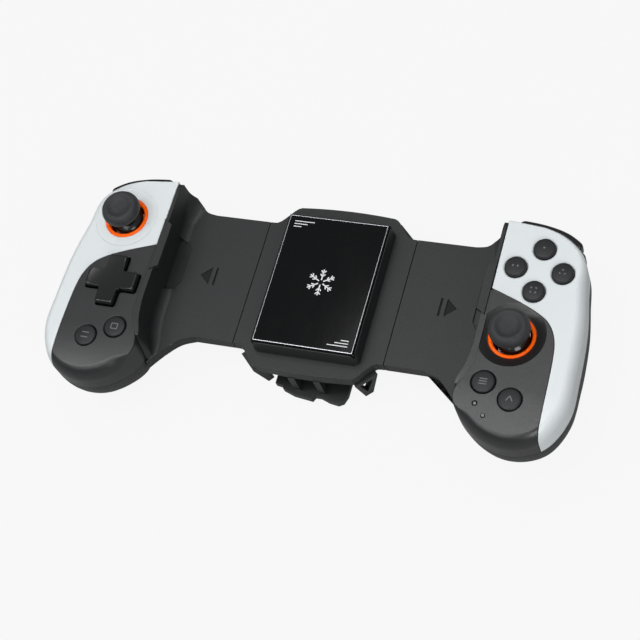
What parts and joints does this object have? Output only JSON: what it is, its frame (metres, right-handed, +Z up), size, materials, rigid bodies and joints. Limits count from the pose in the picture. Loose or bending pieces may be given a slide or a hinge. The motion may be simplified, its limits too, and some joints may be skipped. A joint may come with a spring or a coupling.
{
  "type": "mobile game controller",
  "caption": "Stretching game controller that clamps a phone between two grips with sticks, pad, buttons and triggers, with a fan-cooled block in its middle.",
  "frame": {"origin": "middle of the closed controller's box, on the table under the feet", "axes": "+X to the player's right, +Y away from the player, +Z up out of the front face"},
  "size_m": [0.2314, 0.1008, 0.0505],
  "materials": {
    "charcoal_plastic": "fine satin grain",
    "white_plastic": "smooth satin",
    "black_gloss": "polished",
    "orange_plastic": "polished",
    "stick_rubber": "soft matt",
    "bright_aluminium": "diamond cut",
    "steel": "plain",
    "board": "lacquer",
    "white_ceramic": "plain",
    "battery_wrap": "foil"
  },
  "bodies": {
    "centre": {"centre_front_cover": "charcoal_plastic", "centre_rear_cover": "charcoal_plastic", "cooler_frame": "charcoal_plastic", "cold_plate": "bright_aluminium", "cooling_panel": "black_gloss", "cooling_module": "white_ceramic", "heat_sink": "bright_aluminium", "fan_motor": "black_gloss", "rear_guard": "charcoal_plastic", "corner_feet": "charcoal_plastic", "pull_spring": "steel", "centre_screws": "steel", "charging_port": "steel"},
    "fan": {"fan_rotor": "black_gloss"},
    "pinion": {"sync_pinion": "white_ceramic"},
    "left_grip": {"left_wing": "charcoal_plastic", "left_rear_case": "charcoal_plastic", "left_cover": "white_plastic", "left_face": "charcoal_plastic", "left_fork": "steel", "left_board": "board", "battery": "battery_wrap", "left_rumble_motor": "steel", "left_trigger_pin": "steel", "left_screws": "steel", "left_stick_ring": "orange_plastic", "left_stick_base": "black_gloss", "dpad_bracket": "black_gloss"},
    "right_grip": {"right_wing": "charcoal_plastic", "right_rear_case": "charcoal_plastic", "right_cover": "white_plastic", "right_face": "charcoal_plastic", "right_fork": "steel", "right_board": "board", "right_rumble_motor": "steel", "right_trigger_pin": "steel", "right_screws": "steel", "indicator_lights": "white_ceramic", "right_stick_ring": "orange_plastic", "right_stick_base": "black_gloss"},
    "left_stick_gimbal": {"left_stick_gimbal": "steel"},
    "left_stick_pivot": {"left_stick_pivot": "black_gloss"},
    "left_stick_cap": {"left_stick_cap": "stick_rubber"},
    "dpad_pivot": {"dpad_pivot": "steel"},
    "dpad": {"dpad": "black_gloss"},
    "left_inner_button": {"left_inner_button": "charcoal_plastic"},
    "left_outer_button": {"left_outer_button": "charcoal_plastic"},
    "left_shoulder": {"left_shoulder": "charcoal_plastic"},
    "left_trigger": {"left_trigger": "charcoal_plastic"},
    "right_stick_gimbal": {"right_stick_gimbal": "steel"},
    "right_stick_pivot": {"right_stick_pivot": "black_gloss"},
    "right_stick_cap": {"right_stick_cap": "stick_rubber"},
    "face_button_top": {"face_button_top": "charcoal_plastic"},
    "face_button_left": {"face_button_left": "charcoal_plastic"},
    "face_button_right": {"face_button_right": "charcoal_plastic"},
    "face_button_bottom": {"face_button_bottom": "charcoal_plastic"},
    "right_inner_button": {"right_inner_button": "charcoal_plastic"},
    "right_outer_button": {"right_outer_button": "charcoal_plastic"},
    "right_shoulder": {"right_shoulder": "charcoal_plastic"},
    "right_trigger": {"right_trigger": "charcoal_plastic"}
  },
  "joints": [
    {"name": "left_slide", "type": "slide", "parent": "centre", "child": "left_grip", "axis": [-1, 0, 0], "range_m": [0, 0.018], "stiffness_N_per_m": 150, "springref_m": -0.03},
    {"name": "right_slide", "type": "slide", "parent": "centre", "child": "right_grip", "axis": [1, 0, 0], "range_m": [0, 0.018]},
    {"name": "pinion_turn", "type": "hinge", "parent": "centre", "child": "pinion", "pos_m": [0, 0.0326, 0.02125], "axis": [0, 0, 1], "range_deg": [0, 345]},
    {"name": "fan_spin", "type": "hinge", "parent": "centre", "child": "fan", "pos_m": [0, 0.0106, 0.00975], "axis": [0, 0, 1], "continuous": true},
    {"name": "left_stick_tilt_x", "type": "hinge", "parent": "left_grip", "child": "left_stick_gimbal", "pos_m": [-0.09345, 0.0256, 0.0325], "axis": [1, 0, 0], "range_deg": [-15, 15], "stiffness_Nm_per_rad": 0.02},
    {"name": "left_stick_tilt_y", "type": "hinge", "parent": "left_stick_gimbal", "child": "left_stick_pivot", "pos_m": [-0.09345, 0.0256, 0.0325], "axis": [0, 1, 0], "range_deg": [-15, 15], "stiffness_Nm_per_rad": 0.02},
    {"name": "left_stick_click", "type": "slide", "parent": "left_stick_pivot", "child": "left_stick_cap", "axis": [0, 0, 1], "range_m": [-0.0005, 0], "stiffness_N_per_m": 150, "springref_m": 0.001},
    {"name": "right_stick_tilt_x", "type": "hinge", "parent": "right_grip", "child": "right_stick_gimbal", "pos_m": [0.08745, -0.0048, 0.0307], "axis": [1, 0, 0], "range_deg": [-15, 15], "stiffness_Nm_per_rad": 0.02},
    {"name": "right_stick_tilt_y", "type": "hinge", "parent": "right_stick_gimbal", "child": "right_stick_pivot", "pos_m": [0.08745, -0.0048, 0.0307], "axis": [0, 1, 0], "range_deg": [-15, 15], "stiffness_Nm_per_rad": 0.02},
    {"name": "right_stick_click", "type": "slide", "parent": "right_stick_pivot", "child": "right_stick_cap", "axis": [0, 0, 1], "range_m": [-0.0005, 0], "stiffness_N_per_m": 150, "springref_m": 0.001},
    {"name": "dpad_tilt_x", "type": "hinge", "parent": "left_grip", "child": "dpad_pivot", "pos_m": [-0.08925, -0.0057, 0.0356], "axis": [1, 0, 0], "range_deg": [-3, 3], "stiffness_Nm_per_rad": 0.02},
    {"name": "dpad_tilt_y", "type": "hinge", "parent": "dpad_pivot", "child": "dpad", "pos_m": [-0.08925, -0.0057, 0.0356], "axis": [0, 1, 0], "range_deg": [-3, 3], "stiffness_Nm_per_rad": 0.02},
    {"name": "face_top_press", "type": "slide", "parent": "right_grip", "child": "face_button_top", "axis": [0, 0, 1], "range_m": [-0.0012, 0], "stiffness_N_per_m": 60, "springref_m": 0.001},
    {"name": "face_left_press", "type": "slide", "parent": "right_grip", "child": "face_button_left", "axis": [0, 0, 1], "range_m": [-0.0012, 0], "stiffness_N_per_m": 60, "springref_m": 0.001},
    {"name": "face_right_press", "type": "slide", "parent": "right_grip", "child": "face_button_right", "axis": [0, 0, 1], "range_m": [-0.0012, 0], "stiffness_N_per_m": 60, "springref_m": 0.001},
    {"name": "face_bottom_press", "type": "slide", "parent": "right_grip", "child": "face_button_bottom", "axis": [0, 0, 1], "range_m": [-0.0012, 0], "stiffness_N_per_m": 60, "springref_m": 0.001},
    {"name": "left_inner_press", "type": "slide", "parent": "left_grip", "child": "left_inner_button", "axis": [0, 0, 1], "range_m": [-0.0008, 0], "stiffness_N_per_m": 60, "springref_m": 0.001},
    {"name": "left_outer_press", "type": "slide", "parent": "left_grip", "child": "left_outer_button", "axis": [0, 0, 1], "range_m": [-0.0008, 0], "stiffness_N_per_m": 60, "springref_m": 0.001},
    {"name": "right_inner_press", "type": "slide", "parent": "right_grip", "child": "right_inner_button", "axis": [0, 0, 1], "range_m": [-0.0008, 0], "stiffness_N_per_m": 60, "springref_m": 0.001},
    {"name": "right_outer_press", "type": "slide", "parent": "right_grip", "child": "right_outer_button", "axis": [0, 0, 1], "range_m": [-0.0008, 0], "stiffness_N_per_m": 60, "springref_m": 0.001},
    {"name": "left_shoulder_press", "type": "hinge", "parent": "left_grip", "child": "left_shoulder", "pos_m": [-0.08395, 0.0412, 0.0346], "axis": [0, 0, 1], "range_deg": [0, 2.2], "stiffness_Nm_per_rad": 0.02, "springref_deg": -5.73},
    {"name": "left_trigger_pull", "type": "hinge", "parent": "left_grip", "child": "left_trigger", "pos_m": [-0.0878, 0.0321, 0.021], "axis": [-1, 0, 0], "range_deg": [0, 10], "stiffness_Nm_per_rad": 0.03, "springref_deg": -8.59},
    {"name": "right_shoulder_press", "type": "hinge", "parent": "right_grip", "child": "right_shoulder", "pos_m": [0.08395, 0.0412, 0.0346], "axis": [0, 0, -1], "range_deg": [0, 2.2], "stiffness_Nm_per_rad": 0.02, "springref_deg": -5.73},
    {"name": "right_trigger_pull", "type": "hinge", "parent": "right_grip", "child": "right_trigger", "pos_m": [0.0878, 0.0321, 0.021], "axis": [-1, 0, 0], "range_deg": [0, 10], "stiffness_Nm_per_rad": 0.03, "springref_deg": -8.59}
  ],
  "couplings": [
    {"joint": "right_slide", "follows": "left_slide", "ratio": 1},
    {"joint": "pinion_turn", "follows": "left_slide", "rad_per_m": 333.33}
  ]
}
